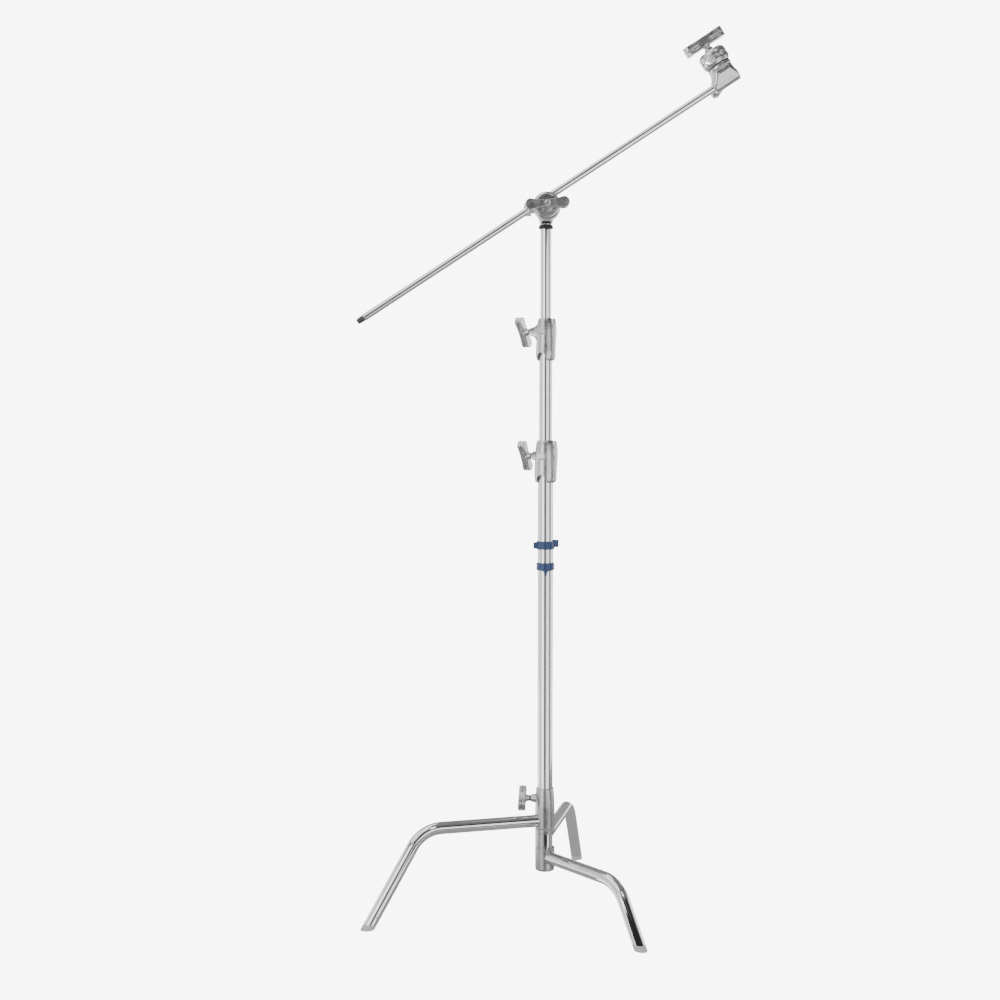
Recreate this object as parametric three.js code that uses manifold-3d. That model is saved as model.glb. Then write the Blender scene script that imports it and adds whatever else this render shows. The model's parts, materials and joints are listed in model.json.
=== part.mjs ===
// A lighting stand with three folding legs, two sliding risers and a gripped boom arm.
// Millimetres, +Z up. The legs stand on z = 0, and the origin is the middle of the footprint
// of the whole stand, seen from above. Each group below has its own frame, named beside it.
import * as THREE from "three";
import { ConvexGeometry } from "three/addons/geometries/ConvexGeometry.js";
import { mergeVertices } from "three/addons/utils/BufferGeometryUtils.js";
import Module from "manifold-3d";

const wasm = await Module();
wasm.setup();

// ---- driving dimensions ----

const COLUMN_AXIS = [-2, -45.5]; // where the column stands, from the origin
const GAP = 0.3; // running gap between touching pieces
const DEG = Math.PI / 180;

const SIDES = { tube: 20, hub: 24, head: 20, screw: 10, leg: 12 }; // facets round a circle

// The three tubes of the column, from the thickest to the thinnest.
const COLUMN = { radius: 17.5, wall: 1.5, bottom: 90, top: 1030 };
const RISER_1 = { radius: 15, wall: 1.5, bottom: 300, top: 1312 };
const RISER_2 = { radius: 12.5, wall: 1.5, bottom: 515, top: 1562 };

// The legs. azimuth is counted from +X; corner and foot are distances from the column's axis.
const LEG = { radius: 14, wall: 1.6, fall: 59 * DEG, rise: 0.028, bend: 75, boot: 13 };
const LEGS = {
  lowest: { azimuth: 306.2 * DEG, height: 120, corner: 256, start: 18.5 },
  middle: { azimuth: 75.2 * DEG, height: 165.6, corner: 266.7, start: 18.5 },
  sliding: { azimuth: 200 * DEG, height: 204.4, corner: 296.5, start: 19.7 },
};

// The hubs, stacked on the column. The lug stops the middle leg open and folded.
const HUB = { radius: 22.5, bore: 18, lowest: 88, middle: 142.5, washer: 186.3, slider: 187.5 };
const LUG = { from: 232.6 * DEG, to: 265 * DEG, top: 176 };
const MIDDLE_FOLD = 129 * DEG;
const SLIDER = {
  top: 282, liner: [190, 240], linerRadius: 19.2,
  clamp: 256, boss: 33, azimuth: 176 * DEG, spin: 64 * DEG,
};

// Clamps: a screw with a T-shaped knob pushes a brass pad against the tube. A clamp's azimuth is
// the side of the column its knob is on, and its spin is how far the knob is turned.
const SCREW = { radius: 5, hole: 5.4, padRadius: 5, padThickness: 2.5 };
const KNOB = { length: 76, endWidth: 21, waist: 15, thickness: 17, neck: 8.5, neckRadius: 6.6 };

// Collars: each is fixed on top of a tube and clamps the next tube.
const COLLARS = {
  lower: {
    bottom: 987, height: 98, outer: 22.5,
    clamp: 1048.4, boss: 33, azimuth: 152 * DEG, spin: -30 * DEG,
  },
  upper: {
    bottom: 1264.5, height: 97.5, outer: 19.5,
    clamp: 1331.4, boss: 40, azimuth: 148 * DEG, spin: -33 * DEG,
  },
};
// The outline of a collar, as [share of its height, added to its outer radius].
const COLLAR_OUTLINE = [
  [0, -1.5], [0.05, 2], [0.17, 3.5], [0.42, 2], [0.75, 0.8], [0.93, -1.2], [1, -3.5],
];
const COLLAR_RIB = { thickness: 9, inset: 6 };
const COLLAR_ARCH = { halfWidth: 13, height: 18 };

// The blue rings on the column. The upper has two lugs, and the lower a pointed tab at the front.
const BLUE = { radius: 20.6, upper: [835, 853.5], lower: [787, 804] };
const BLUE_TAB = { halfWidth: 11, shoulder: 790, tip: 775 };
const BLUE_LUGS = [
  { reach: 27.5, low: 837, high: 851, side: 188 * DEG },
  { reach: 31, low: 839, high: 856, side: 14 * DEG },
];

// The stud on the last riser, and the rubber washer round it.
const STUD = {
  radius: 8, plugRadius: 10.7, plugBottom: 1532, top: 1628, groove: [1580, 1592], grooveRadius: 6.6,
};
const WASHER = { radius: 16.5, bottom: 1562.3, top: 1569.5 };

// A grip head, measured from the axis of its receiver bore along the axis of its jaws.
const HEAD = {
  height: 1604.7, bore: 8.3, barrelRadius: 14, barrelLow: -35, barrelHigh: 27,
  face: 36, discRadius: 27, washer: [36.3, 37.7], inner: 38, split: 54, outerEnd: 76,
  jawRadius: 31.5, boss: 22, boltRadius: 4, boltHole: 4.6, boltStart: 12, thrust: [76.3, 79.2],
  handle: 79.5, groove: 15.5, grooveRadius: 8.3, smallGroove: -15, smallRadius: 5.2,
  spring: [5, 6], springReach: 5, springHole: 6.4,
};
const HANDLE = { length: 98, endWidth: 25, waist: 15, thickness: 22, neck: 6.5, neckRadius: 7 };
const BORE_END = 6; // metal left over the end of the screw in a knob or handle
const HEAD_SPIN = {
  centre: { jaws: 33 * DEG, handle: 4 * DEG, knob: 90 * DEG },
  end: { jaws: 0, handle: 90 * DEG, knob: -12 * DEG },
};

// The arm, a rod that lies in the grooves of the centre head's jaws.
const ARM = { radius: 8, tip: -494, capLength: 18, endHead: 486, end: 508 };

// ---- materials ----

const finish = (color, roughness, metalness) =>
  new THREE.MeshStandardMaterial({ color, roughness, metalness });
const CHROME = finish(0xdadcde, 0.12, 1);
const CASTING = finish(0xb4b6b9, 0.32, 0.95);
const STEEL = finish(0x9b9da0, 0.35, 1);
const BRASS = finish(0xb08d4a, 0.4, 1);
const RUBBER = finish(0x151516, 0.8, 0);
const BLUE_PLASTIC = finish(0x24498a, 0.45, 0);
const NYLON = finish(0xe2e0d8, 0.55, 0);
const GREY_PLASTIC = finish(0x55565a, 0.6, 0);
const LIGHT_PLASTIC = finish(0xb9babb, 0.5, 0);

// ---- solids ----

// A closed geometry, or a solid already made, as a solid that faces out.
function solid(shape) {
  if (!shape.isBufferGeometry) return shape;
  const loose = shape.index ? shape.toNonIndexed() : shape;
  const bare = new THREE.BufferGeometry().setAttribute("position", loose.getAttribute("position"));
  const merged = mergeVertices(bare, 1e-3);
  const vertProperties = merged.attributes.position.array;
  const build = (triVerts) => {
    const mesh = new wasm.Mesh({ numProp: 3, vertProperties, triVerts });
    return new wasm.Manifold(mesh);
  };
  const made = build(new Uint32Array(merged.index.array));
  return made.volume() > 0 ? made : build(new Uint32Array(merged.index.array).reverse());
}

const join = (first, ...others) => others.reduce((sum, one) => sum.add(solid(one)), solid(first));
const cut = (first, ...others) => others.reduce((rest, one) => rest.subtract(solid(one)), solid(first));

function geometryOf(shape) {
  const made = solid(shape).getMesh();
  const geometry = new THREE.BufferGeometry();
  geometry.setAttribute("position", new THREE.BufferAttribute(made.vertProperties, 3));
  geometry.setIndex(new THREE.BufferAttribute(made.triVerts, 1));
  return geometry;
}

// A named mesh of a solid.
function piece(name, shape, material) {
  const geometry = geometryOf(shape);
  geometry.computeVertexNormals();
  const mesh = new THREE.Mesh(geometry, material);
  mesh.name = name;
  return mesh;
}

function group(...children) {
  const made = new THREE.Group();
  made.add(...children);
  return made;
}

// A turned solid about +Z from [radius, height] points. A profile off the axis closes on itself.
function turned(profile, sides) {
  const points = profile.map(([r, z]) => new THREE.Vector2(r, z));
  if (profile[0][0] > 0) points.push(points[0].clone());
  return new THREE.LatheGeometry(points, sides).rotateX(Math.PI / 2);
}

const rod = (radius, low, high, sides) =>
  turned([[0, low], [radius, low], [radius, high], [0, high]], sides);
const ring = (inner, outer, low, high, sides) =>
  turned([[inner, low], [outer, low], [outer, high], [inner, high]], sides);

const box = (low, high) =>
  new THREE.BoxGeometry(...high.map((h, i) => h - low[i]))
    .translate(...high.map((h, i) => (h + low[i]) / 2));

const alongX = (geometry) => geometry.rotateY(Math.PI / 2); // +Z turns to +X
const alongFront = (geometry) => geometry.rotateX(Math.PI / 2); // +Z turns to -Y

const extruded = (outline, depth, curveSegments) =>
  new THREE.ExtrudeGeometry(outline, { depth, bevelEnabled: false, curveSegments });

// An upright prism on a sector of a circle.
function sector(radius, from, to, low, high) {
  const outline = new THREE.Shape();
  outline.moveTo(0, 0);
  outline.lineTo(radius * Math.cos(from), radius * Math.sin(from));
  outline.absarc(0, 0, radius, from, to, false);
  return extruded(outline, high - low, Math.ceil((to - from) / (15 * DEG))).translate(0, 0, low);
}

// ---- legs and hubs ----

// The centre line of a leg in its own frame, with +X outward: level, a bend, then down.
class LegLine extends THREE.Curve {
  constructor({ height, corner, start }) {
    super();
    const cornerHeight = height + LEG.rise * corner;
    this.start = new THREE.Vector2(start, height + LEG.rise * start);
    this.corner = new THREE.Vector2(corner, cornerHeight);
    this.out = this.corner.clone().sub(this.start).normalize();
    this.down = new THREE.Vector2(Math.cos(LEG.fall), -Math.sin(LEG.fall));
    const turn = this.out.angleTo(this.down);
    this.setback = LEG.bend * Math.tan(turn / 2);
    this.turn = turn;
    const reach = (cornerHeight + LEG.radius) / Math.sin(LEG.fall);
    this.end = this.corner.clone().addScaledVector(this.down, reach);
  }
  // The first and last tenth of t are the straights, and the rest is the bend.
  getPoint(t) {
    const bendStart = this.corner.clone().addScaledVector(this.out, -this.setback);
    const bendEnd = this.corner.clone().addScaledVector(this.down, this.setback);
    let at;
    if (t < 0.1) at = this.start.clone().lerp(bendStart, t / 0.1);
    else if (t > 0.9) at = bendEnd.lerp(this.end, (t - 0.9) / 0.1);
    else {
      const angle = (this.turn * (t - 0.1)) / 0.8;
      at = bendStart.addScaledVector(this.out, LEG.bend * Math.sin(angle));
      at.addScaledVector(new THREE.Vector2(this.out.y, -this.out.x), LEG.bend * (1 - Math.cos(angle)));
    }
    return new THREE.Vector3(at.x, 0, at.y);
  }
  getUtoTmapping(u) {
    return u;
  }
}

function circlePoints(radius, sides) {
  const points = [];
  for (let i = 0; i < sides; i++) {
    const angle = (2 * Math.PI * (i + 0.5)) / sides;
    points.push(new THREE.Vector2(radius * Math.cos(angle), radius * Math.sin(angle)));
  }
  return points;
}

function sweep(line, radius, holeRadius) {
  const shape = new THREE.Shape(circlePoints(radius, SIDES.leg));
  if (holeRadius) shape.holes.push(new THREE.Path(circlePoints(holeRadius, SIDES.leg).reverse()));
  return new THREE.ExtrudeGeometry(shape, { extrudePath: line, steps: 10, bevelEnabled: false });
}

// A leg's tube and the plastic cap on its foot, a boot with a plug inside the tube.
function legPieces(name, leg) {
  const line = new LegLine(leg);
  const below = (height) => box([0, -60, -100], [600, 60, height]);
  const above = (height) => box([0, -60, height], [600, 60, 400]);
  const capStart = line.corner.clone().lerp(line.end, 1 - 45 / line.corner.distanceTo(line.end));
  const capLine = (start) =>
    new THREE.LineCurve3(
      new THREE.Vector3(start.x, 0, start.y),
      new THREE.Vector3(line.end.x, 0, line.end.y),
    );
  const lip = (radius) => {
    const shape = new THREE.Shape(circlePoints(radius, SIDES.leg));
    const straight = { extrudePath: capLine(capStart), steps: 1, bevelEnabled: false };
    return new THREE.ExtrudeGeometry(shape, straight);
  };
  const tube = cut(sweep(line, LEG.radius, LEG.radius - LEG.wall), below(LEG.boot));
  const plug = cut(lip(LEG.radius - LEG.wall - GAP), below(0));
  const boot = cut(lip(LEG.radius), below(0), above(LEG.boot - GAP));
  const made = group(
    piece(name + "_leg_tube", tube, CHROME),
    piece(name + "_leg_foot_cap", join(plug, boot), LIGHT_PLASTIC),
  );
  made.rotation.z = leg.azimuth;
  return made;
}

// The hole in a hub's wall that the leg's tube is welded into.
function legSocket({ azimuth, height }) {
  const hole = alongX(rod(LEG.radius + 0.4, HUB.bore, 60, SIDES.hub));
  return hole.rotateY(-Math.atan(LEG.rise)).translate(0, 0, height).rotateZ(azimuth);
}

function lowestHub() {
  const low = HUB.lowest;
  const high = HUB.middle - GAP;
  const profile = [
    [HUB.bore, low], [HUB.radius - 4, low], [HUB.radius - 1, low + 1.5], [HUB.radius, low + 5],
    [HUB.radius, high], [HUB.bore, high],
  ];
  const lug = cut(
    sector(HUB.radius, LUG.from, LUG.to, high - 1, LUG.top),
    rod(HUB.bore + 0.4, high - 2, LUG.top + 1, SIDES.hub),
  );
  const notch = sector(40, LUG.to + 4 * DEG, LUG.to + 30 * DEG, high - 6, high + 1);
  const body = cut(turned(profile, SIDES.hub), notch);
  return piece("lowest_leg_hub", cut(join(body, lug), legSocket(LEGS.lowest)), CASTING);
}

function middleHub() {
  const high = HUB.washer - GAP;
  const body = ring(HUB.bore, HUB.radius, HUB.middle, high, SIDES.hub);
  const lugWay = [LUG.from - 0.4 * DEG, LUG.to + MIDDLE_FOLD + 0.4 * DEG];
  const window = sector(40, ...lugWay, HUB.middle - 1, LUG.top + GAP);
  return piece("middle_leg_hub", cut(body, window, legSocket(LEGS.middle)), CASTING);
}

// The slotted hub of the leg that slides and turns on the column, round its nylon liner.
function slidingHub() {
  const { top, clamp, liner, linerRadius, boss, azimuth } = SLIDER;
  const profile = [
    [HUB.bore, HUB.slider], [HUB.radius, HUB.slider], [HUB.radius, liner[1]],
    [HUB.radius - 1.4, clamp + 12], [HUB.radius - 2.6, top], [HUB.bore, top],
  ];
  const clampBoss = bossShape(boss, 13, 8).translate(0, 0, clamp).rotateZ(azimuth);
  const made = cut(
    join(turned(profile, SIDES.hub), clampBoss),
    rod(HUB.bore, HUB.slider - 1, top + 1, SIDES.hub),
    rod(linerRadius + GAP, liner[0] - GAP, liner[1] + GAP, SIDES.hub),
    screwHole(boss).translate(0, 0, clamp).rotateZ(azimuth),
    legSocket(LEGS.sliding),
  );
  return piece("sliding_leg_hub", made, CASTING);
}

function slidingLiner() {
  const { liner, linerRadius } = SLIDER;
  const shape = ring(COLUMN.radius + 0.4, linerRadius, ...liner, SIDES.hub);
  return piece("sliding_leg_liner", shape, NYLON);
}

// ---- clamps ----

// A tapered boss along +X that carries a clamp screw.
const bossShape = (reach, wide, narrow) =>
  alongX(turned([[0, 9], [wide, 9], [narrow, reach], [0, reach]], SIDES.head));
const screwHole = (reach) => alongX(rod(SCREW.hole, 0, reach + 1, SIDES.screw));

// The front outline of a T grip: a bar with wide round ends and a narrower waist.
function teeOutline({ length, endWidth, waist }) {
  const end = endWidth / 2;
  const reach = length / 2 - end;
  const outline = new THREE.Shape();
  outline.moveTo(-reach, -end);
  outline.quadraticCurveTo(0, end - waist, reach, -end);
  outline.absarc(reach, 0, end, -Math.PI / 2, Math.PI / 2, false);
  outline.quadraticCurveTo(0, waist - end, -reach, end);
  outline.absarc(-reach, 0, end, Math.PI / 2, 1.5 * Math.PI, false);
  return outline;
}

// A T grip along +Z: a neck from z = 0, then the bar along X, with two pockets in its inner face.
function teeGrip(grip, boreRadius) {
  const { length, thickness, neck, neckRadius, waist } = grip;
  const bar = extruded(teeOutline(grip), thickness, 6).translate(0, 0, neck);
  const stem = turned(
    [[0, 0], [neckRadius, 0], [waist / 2 + 1.5, neck + 1], [0, neck + 1]],
    SIDES.head,
  );
  const pocket = (side) => {
    const near = side * (waist / 2 + 5);
    const far = side * (length / 2 - 7);
    return box([Math.min(near, far), -4.5, neck - 1], [Math.max(near, far), 4.5, neck + 7]);
  };
  return cut(
    join(bar, stem), pocket(-1), pocket(1),
    rod(boreRadius, -1, neck + thickness - BORE_END, SIDES.screw),
  );
}

// A clamp along +X: pad, screw and knob. tubeRadius is where the pad presses.
function clampPieces(name, tubeRadius, boss, spin) {
  const padStart = tubeRadius + GAP;
  const screwStart = padStart + SCREW.padThickness + GAP;
  const knobStart = boss + 2.5;
  const screwEnd = knobStart + KNOB.neck + KNOB.thickness - BORE_END - GAP;
  const pad = alongX(rod(SCREW.padRadius, padStart, screwStart - GAP, SIDES.screw));
  const screw = alongX(rod(SCREW.radius, screwStart, screwEnd, SIDES.screw));
  const knob = piece(name + "_knob", teeGrip(KNOB, SCREW.radius + GAP), CASTING);
  const held = group(knob);
  held.position.x = knobStart;
  held.rotation.set(spin, Math.PI / 2, 0);
  return group(piece(name + "_pad", pad, BRASS), piece(name + "_screw", screw, STEEL), held);
}

// The clamp of a collar or of the sliding hub, in place on the column.
function clampAt(name, { radius }, { clamp, boss, azimuth, spin }) {
  const made = clampPieces(name, radius, boss, spin);
  made.position.z = clamp;
  made.rotation.z = azimuth;
  return made;
}

// ---- collars ----

// The rib down the back of a collar, opposite its knob.
function collarRib(outer, height) {
  const { thickness, inset } = COLLAR_RIB;
  const at = (share) => share * height;
  const rib = new THREE.Shape();
  rib.moveTo(outer - inset, at(0.02));
  rib.lineTo(outer + 4, at(0.07));
  rib.quadraticCurveTo(outer + 5, at(0.4), outer + 7, at(0.62));
  rib.quadraticCurveTo(outer + 7, at(0.88), outer + 3, at(0.98));
  rib.lineTo(outer - inset, at(0.98));
  const upright = extruded(rib, thickness, 4).translate(0, 0, -thickness / 2);
  return upright.rotateX(Math.PI / 2).rotateZ(Math.PI);
}

// The arched cut through the bottom rim of a collar, front and back.
function collarArch() {
  const { halfWidth, height } = COLLAR_ARCH;
  const arch = new THREE.Shape();
  arch.moveTo(-halfWidth, -5);
  arch.lineTo(halfWidth, -5);
  arch.absellipse(0, 0, halfWidth, height, 0, Math.PI, false);
  return extruded(arch, 100, 5).translate(0, 0, -50).rotateX(Math.PI / 2);
}

// A collar in its own frame: z = 0 at its bottom, +X towards its knob.
function collarShape({ bottom, height, clamp, outer, boss }, tube, inner) {
  const side = COLLAR_OUTLINE.map(([share, added]) => [outer + added, share * height]);
  const body = turned([[0, 0], ...side, [0, height]], SIDES.hub);
  const knobHeight = clamp - bottom;
  const clampBoss = bossShape(boss, 17, 9).translate(0, 0, knobHeight);
  return cut(
    join(body, clampBoss, collarRib(outer, height)),
    collarArch(),
    rod(tube.radius + 0.4, -1, tube.top + GAP - bottom, SIDES.tube),
    rod(inner.radius + 1.5, 0, height + 1, SIDES.tube),
    screwHole(boss).translate(0, 0, knobHeight),
  );
}

// A collar with its guide bush.
function collarPieces(name, collar, tube, inner) {
  const { radius } = inner;
  const high = collar.height - 1;
  const bush = ring(radius + GAP, radius + 1.2, high - 15, high, SIDES.tube);
  const made = group(
    piece(name, collarShape(collar, tube, inner), CASTING),
    piece(name + "_bush", bush, NYLON),
  );
  made.position.z = collar.bottom;
  made.rotation.z = collar.azimuth;
  return made;
}

// ---- column ----

const tubePiece = (name, { radius, wall, bottom, top }) =>
  piece(name, ring(radius - wall, radius, bottom, top, SIDES.tube), CHROME);

// The nylon bush under a riser, which guides its foot inside the tube outside it.
function footBush(name, { radius, wall, bottom }, outerTube) {
  const outer = outerTube.radius - outerTube.wall - 0.4;
  const spigot = radius - wall - GAP;
  const low = bottom - GAP - 12;
  const profile = [
    [spigot - 4, low], [outer, low], [outer, bottom - GAP], [spigot, bottom - GAP],
    [spigot, bottom + 15], [spigot - 4, bottom + 15],
  ];
  return piece(name, turned(profile, SIDES.tube), NYLON);
}

// The plastic plug that closes the foot of the column.
function columnPlug() {
  const flange = COLUMN.radius;
  const spigot = COLUMN.radius - COLUMN.wall - GAP;
  const profile = [
    [0, HUB.lowest], [flange, HUB.lowest], [flange, COLUMN.bottom - GAP],
    [spigot, COLUMN.bottom - GAP], [spigot, COLUMN.bottom + 6], [0, COLUMN.bottom + 6],
  ];
  return piece("column_plug", turned(profile, SIDES.tube), GREY_PLASTIC);
}

function blueRings() {
  const inner = COLUMN.radius + GAP;
  const clear = rod(inner, 700, 900, SIDES.hub);
  const lugs = BLUE_LUGS.map(({ reach, low, high, side }) =>
    box([COLUMN.radius - 0.5, -5, low], [reach, 5, high]).rotateZ(side));
  const upper = cut(join(ring(inner, BLUE.radius, ...BLUE.upper, SIDES.hub), ...lugs), clear);
  const { halfWidth, shoulder, tip } = BLUE_TAB;
  const outline = new THREE.Shape();
  outline.moveTo(-halfWidth, shoulder);
  outline.lineTo(0, tip);
  outline.lineTo(halfWidth, shoulder);
  const wedge = solid(extruded(outline, 21, 1).rotateX(Math.PI / 2));
  const tab = wedge.intersect(solid(rod(BLUE.radius, tip - 1, shoulder + 1, SIDES.hub)));
  const lower = cut(join(ring(inner, BLUE.radius, ...BLUE.lower, SIDES.hub), tab), clear);
  return group(
    piece("upper_blue_ring", upper, BLUE_PLASTIC),
    piece("lower_blue_ring", lower, BLUE_PLASTIC),
  );
}

function studPieces() {
  const { radius, plugRadius, plugBottom, top, groove, grooveRadius } = STUD;
  const profile = [
    [0, plugBottom], [plugRadius, plugBottom], [plugRadius, RISER_2.top], [radius, RISER_2.top],
    [radius, groove[0]], [grooveRadius, groove[0] + 2], [grooveRadius, groove[1] - 2],
    [radius, groove[1]],
    [radius, top - 1.5], [radius - 1.5, top], [0, top],
  ];
  const washer = ring(radius + GAP, WASHER.radius, WASHER.bottom, WASHER.top, SIDES.head);
  return group(
    piece("stud", turned(profile, SIDES.head), STEEL),
    piece("rubber_washer", washer, RUBBER),
  );
}

// ---- grip heads ----
// Frame of a head: origin on the receiver bore, bore along Z with its mouth at -Z,
// jaws towards -Y, clamp knob towards -X.

function headBody() {
  const { bore, barrelRadius, barrelLow, barrelHigh, face, discRadius, boss } = HEAD;
  const barrel = turned(
    [[0, barrelLow], [barrelRadius - 1, barrelLow], [barrelRadius, barrelLow + 2],
      [barrelRadius, barrelHigh - 2], [barrelRadius - 2, barrelHigh], [0, barrelHigh]],
    SIDES.head,
  );
  const disc = alongFront(rod(discRadius, face - 7, face, SIDES.hub));
  const flare = new ConvexGeometry([
    ...circlePoints(discRadius - 1.5, SIDES.hub)
      .map(({ x, y }) => new THREE.Vector3(x, 5 - face, y)),
    ...[barrelLow + 3, barrelHigh - 2].flatMap((z) =>
      circlePoints(barrelRadius - 0.5, SIDES.screw).map(({ x, y }) => new THREE.Vector3(x, y, z))),
  ]);
  const side = bossShape(boss, 11.5, 9.5).rotateZ(Math.PI);
  return cut(
    join(barrel, disc, flare, side),
    rod(bore, barrelLow - 1, barrelHigh + 1, SIDES.head),
    screwHole(boss).rotateZ(Math.PI),
    alongFront(rod(HEAD.boltHole, HEAD.boltStart - 1, face + 1, SIDES.screw)),
  );
}

// The grooves that hold rods, seen along X in the frame of the jaws, at the split plane.
function grooves() {
  const one = (radius, offset) =>
    alongX(rod(radius, -50, 50, SIDES.head)).translate(0, -HEAD.split, offset);
  return [one(HEAD.grooveRadius, HEAD.groove), one(HEAD.smallRadius, HEAD.smallGroove)];
}

function innerJaw() {
  const { inner, split, discRadius, jawRadius, boltHole, springHole, springReach } = HEAD;
  const face = split - 0.6;
  const profile = [
    [0, inner], [discRadius, inner], [jawRadius, inner + 8], [jawRadius, face], [0, face],
  ];
  return cut(
    alongFront(turned(profile, SIDES.hub)),
    alongFront(rod(boltHole, inner - 1, face + 1, SIDES.screw)),
    alongFront(rod(springHole, face - springReach, face + 1, SIDES.head)),
    ...grooves(),
  );
}

function outerJaw() {
  const { split, jawRadius, outerEnd, boltHole, springHole, springReach } = HEAD;
  const face = split + 0.6;
  const profile = [
    [0, face], [jawRadius, face], [jawRadius, split + 10], [jawRadius - 5, split + 16],
    [16, outerEnd - 3], [10, outerEnd], [0, outerEnd],
  ];
  return cut(
    alongFront(turned(profile, SIDES.hub)),
    alongFront(rod(boltHole, face - 1, outerEnd + 1, SIDES.screw)),
    alongFront(rod(springHole, face - 1, face + springReach, SIDES.head)),
    ...grooves(),
  );
}

function springShape() {
  const { spring, springReach, split } = HEAD;
  return alongFront(ring(...spring, split - springReach, split + springReach, SIDES.head));
}

function boltShape() {
  const end = HEAD.handle + HANDLE.neck + HANDLE.thickness - BORE_END - GAP;
  return alongFront(rod(HEAD.boltRadius, HEAD.boltStart, end, SIDES.screw));
}

// Every piece of one head. jaws turns the jaws, and handle the handle, about the jaws' axis.
function gripHead(name, spin) {
  const jaws = group(
    piece(name + "_inner_jaw", innerJaw(), CASTING),
    piece(name + "_spring", springShape(), STEEL),
    piece(name + "_outer_jaw", outerJaw(), CASTING),
  );
  jaws.rotation.y = -spin.jaws;
  const grip = alongFront(geometryOf(teeGrip(HANDLE, HEAD.boltRadius + GAP)));
  const handle = group(piece(name + "_handle", grip, CASTING));
  handle.position.y = -HEAD.handle;
  handle.rotation.y = -spin.handle;
  const clamp = clampPieces(name, ARM.radius, HEAD.boss, spin.knob);
  clamp.rotation.z = Math.PI;
  const frictionWasher = alongFront(ring(9, 26, ...HEAD.washer, SIDES.hub));
  const thrustWasher = alongFront(ring(4.8, 10, ...HEAD.thrust, SIDES.head));
  return group(
    piece(name + "_body", headBody(), CASTING),
    piece(name + "_friction_washer", frictionWasher, RUBBER),
    piece(name + "_thrust_washer", thrustWasher, STEEL),
    piece(name + "_bolt", boltShape(), STEEL),
    jaws,
    handle,
    clamp,
  );
}

// ---- arm ----
// Frame of the arm: +X along it towards its head, origin beside the centre head's axis.

function armPieces() {
  const { radius, tip, capLength, end } = ARM;
  const shoulder = tip + capLength;
  const spigot = 4;
  const rodProfile = [
    [0, shoulder - 10], [spigot, shoulder - 10], [spigot, shoulder], [radius, shoulder],
    [radius, end], [0, end],
  ];
  const capProfile = [
    [0, tip], [4.5, tip], [6.6, tip + 2.5], [7.2, shoulder - GAP], [spigot + GAP, shoulder - GAP],
    [spigot + GAP, shoulder - 10 - GAP], [0, shoulder - 10 - GAP],
  ];
  return group(
    piece("arm_rod", alongX(turned(rodProfile, SIDES.head)), CHROME),
    piece("arm_tip_cap", alongX(turned(capProfile, SIDES.head)), GREY_PLASTIC),
  );
}

// The arm lies in the jaws' split plane, beside the jaws' axis.
function placeArm() {
  const slope = HEAD_SPIN.centre.jaws;
  const arm = armPieces();
  const end = gripHead("end_head", HEAD_SPIN.end);
  end.position.x = ARM.endHead;
  end.quaternion.setFromRotationMatrix(
    new THREE.Matrix4().makeBasis(
      new THREE.Vector3(0, -1, 0), new THREE.Vector3(0, 0, -1), new THREE.Vector3(1, 0, 0),
    ),
  );
  arm.add(end);
  arm.position.set(-HEAD.groove * Math.sin(slope), -HEAD.split, HEAD.groove * Math.cos(slope));
  arm.rotation.y = -slope;
  return arm;
}

// ---- the stand ----

function baseGroup() {
  const washer = ring(HUB.bore, HUB.radius - 1, HUB.washer, HUB.slider - GAP, SIDES.hub);
  return group(
    tubePiece("column_tube", COLUMN),
    columnPlug(),
    lowestHub(),
    legPieces("lowest", LEGS.lowest),
    piece("hub_washer", washer, NYLON),
    blueRings(),
    collarPieces("lower_collar", COLLARS.lower, COLUMN, RISER_1),
    middleHub(),
    legPieces("middle", LEGS.middle),
    slidingLiner(),
    slidingHub(),
    legPieces("sliding", LEGS.sliding),
    clampAt("sliding_leg", COLUMN, SLIDER),
    clampAt("lower_collar", RISER_1, COLLARS.lower),
  );
}

function riserGroup() {
  return group(
    tubePiece("riser_1_tube", RISER_1),
    footBush("riser_1_bush", RISER_1, COLUMN),
    collarPieces("upper_collar", COLLARS.upper, RISER_1, RISER_2),
    clampAt("upper_collar", RISER_2, COLLARS.upper),
    tubePiece("riser_2_tube", RISER_2),
    footBush("riser_2_bush", RISER_2, RISER_1),
    studPieces(),
  );
}

const centreHead = gripHead("centre_head", HEAD_SPIN.centre);
centreHead.add(placeArm());
centreHead.position.z = HEAD.height;

const stand = group(baseGroup(), riserGroup(), centreHead);
stand.position.set(...COLUMN_AXIS, 0);
const part = group(stand);

export default part;
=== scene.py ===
"""A lighting stand with three folding legs, two risers and a gripped boom arm.

Every visible piece is rebuilt smoothly around the CAD frame. Shapes are described in millimetres in
small local frames (class Place), which are measured from the frame's joints and nodes.
"""
import json
import math
import bmesh
import bpy
from mathutils import Matrix, Vector


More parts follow.
